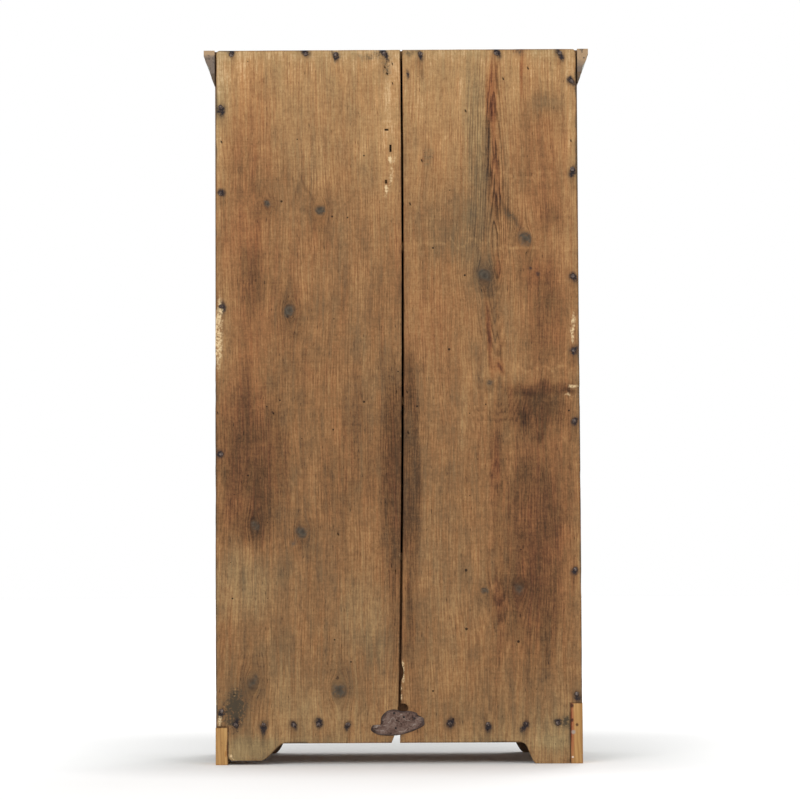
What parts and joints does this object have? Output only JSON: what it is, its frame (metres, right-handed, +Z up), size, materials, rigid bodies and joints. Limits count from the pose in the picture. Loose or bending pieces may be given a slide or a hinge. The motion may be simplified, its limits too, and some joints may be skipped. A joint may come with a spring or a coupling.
{
  "type": "panelled cupboard",
  "caption": "Tall pine cupboard on bracket feet with two panelled doors, shelves, a mitred cornice, lock and nailed plank back.",
  "frame": {"origin": "on the floor under the middle of the whole cupboard, cornice and nail heads included", "axes": "+Z up, the doors face -Y, the nailed plank back faces +Y, +X is to the right seen from the front"},
  "size_m": [0.919, 0.4684, 1.7],
  "materials": {
    "old_back_pine": "bare, darkened by age",
    "inside_pine": "bare, hand planed",
    "painted_pine": "worn grey-green paint",
    "new_pine": "bare, freshly sawn",
    "peg_wood": "riven",
    "nail_iron": "rusted, wrought",
    "hardware_iron": "dark, oiled",
    "rusty_sheet_iron": "rusted, scratched",
    "aged_brass": "tarnished"
  },
  "bodies": {
    "case": {"back_board_left": "old_back_pine", "back_board_right": "old_back_pine", "back_nails": "nail_iron", "bed_mould_front": "painted_pine", "bed_mould_left": "painted_pine", "bed_mould_right": "painted_pine", "bottom_board": "inside_pine", "bottom_door_stops": "inside_pine", "case_nails": "nail_iron", "crown_front": "painted_pine", "crown_left": "painted_pine", "crown_right": "painted_pine", "face_frame_pegs": "peg_wood", "frame_hinge_leaves_left": "hardware_iron", "frame_hinge_leaves_right": "hardware_iron", "frame_hinge_screws": "hardware_iron", "front_skirt": "painted_pine", "front_stile_left": "painted_pine", "front_stile_right": "painted_pine", "front_top_rail": "painted_pine", "hinge_pins": "hardware_iron", "joint_batten": "inside_pine", "patch_plate": "rusty_sheet_iron", "patch_tacks": "nail_iron", "rear_foot_left": "new_pine", "rear_foot_right": "new_pine", "shelf_lower": "inside_pine", "shelf_middle": "inside_pine", "shelf_upper": "inside_pine", "side_left": "painted_pine", "side_right": "painted_pine", "top_board": "inside_pine", "top_door_stop": "inside_pine"},
    "door_bolt": {"door_bolt": "hardware_iron"},
    "door_left": {"door_hinge_leaves_left": "hardware_iron", "door_left_bottom_rail": "painted_pine", "door_left_hinge_stile": "painted_pine", "door_left_lower_panel": "painted_pine", "door_left_meeting_stile": "painted_pine", "door_left_middle_rail": "painted_pine", "door_left_pegs": "peg_wood", "door_left_screws": "hardware_iron", "door_left_top_rail": "painted_pine", "door_left_upper_panel": "painted_pine", "keeper": "hardware_iron", "slide_bolt_plate": "hardware_iron"},
    "door_right": {"door_hinge_leaves_right": "hardware_iron", "door_right_bottom_rail": "painted_pine", "door_right_hinge_stile": "painted_pine", "door_right_lower_panel": "painted_pine", "door_right_meeting_stile": "painted_pine", "door_right_middle_rail": "painted_pine", "door_right_pegs": "peg_wood", "door_right_screws": "hardware_iron", "door_right_top_rail": "painted_pine", "door_right_upper_panel": "painted_pine", "escutcheon": "aged_brass", "lock_case": "hardware_iron"},
    "key": {"key": "hardware_iron"},
    "lock_bolt": {"lock_bolt": "hardware_iron"}
  },
  "joints": [
    {"name": "door_left_swing", "type": "hinge", "parent": "case", "child": "door_left", "pos_m": [-0.357, -0.21325, 0.836], "axis": [0, 0, -1], "range_deg": [0, 170]},
    {"name": "door_right_swing", "type": "hinge", "parent": "case", "child": "door_right", "pos_m": [0.357, -0.21325, 0.836], "axis": [0, 0, 1], "range_deg": [0, 170]},
    {"name": "key_turn", "type": "hinge", "parent": "door_right", "child": "key", "pos_m": [0.0355, -0.2, 0.922], "axis": [0, -1, 0], "range_deg": [0, 180]},
    {"name": "lock_bolt_slide", "type": "slide", "parent": "door_right", "child": "lock_bolt", "axis": [-1, 0, 0], "range_m": [0, 0.012]},
    {"name": "door_bolt_slide", "type": "slide", "parent": "door_left", "child": "door_bolt", "axis": [0, 0, 1], "range_m": [0, 0.014]}
  ],
  "couplings": [
    {"joint": "lock_bolt_slide", "follows": "key_turn", "m_per_rad": 0.0038197}
  ]
}
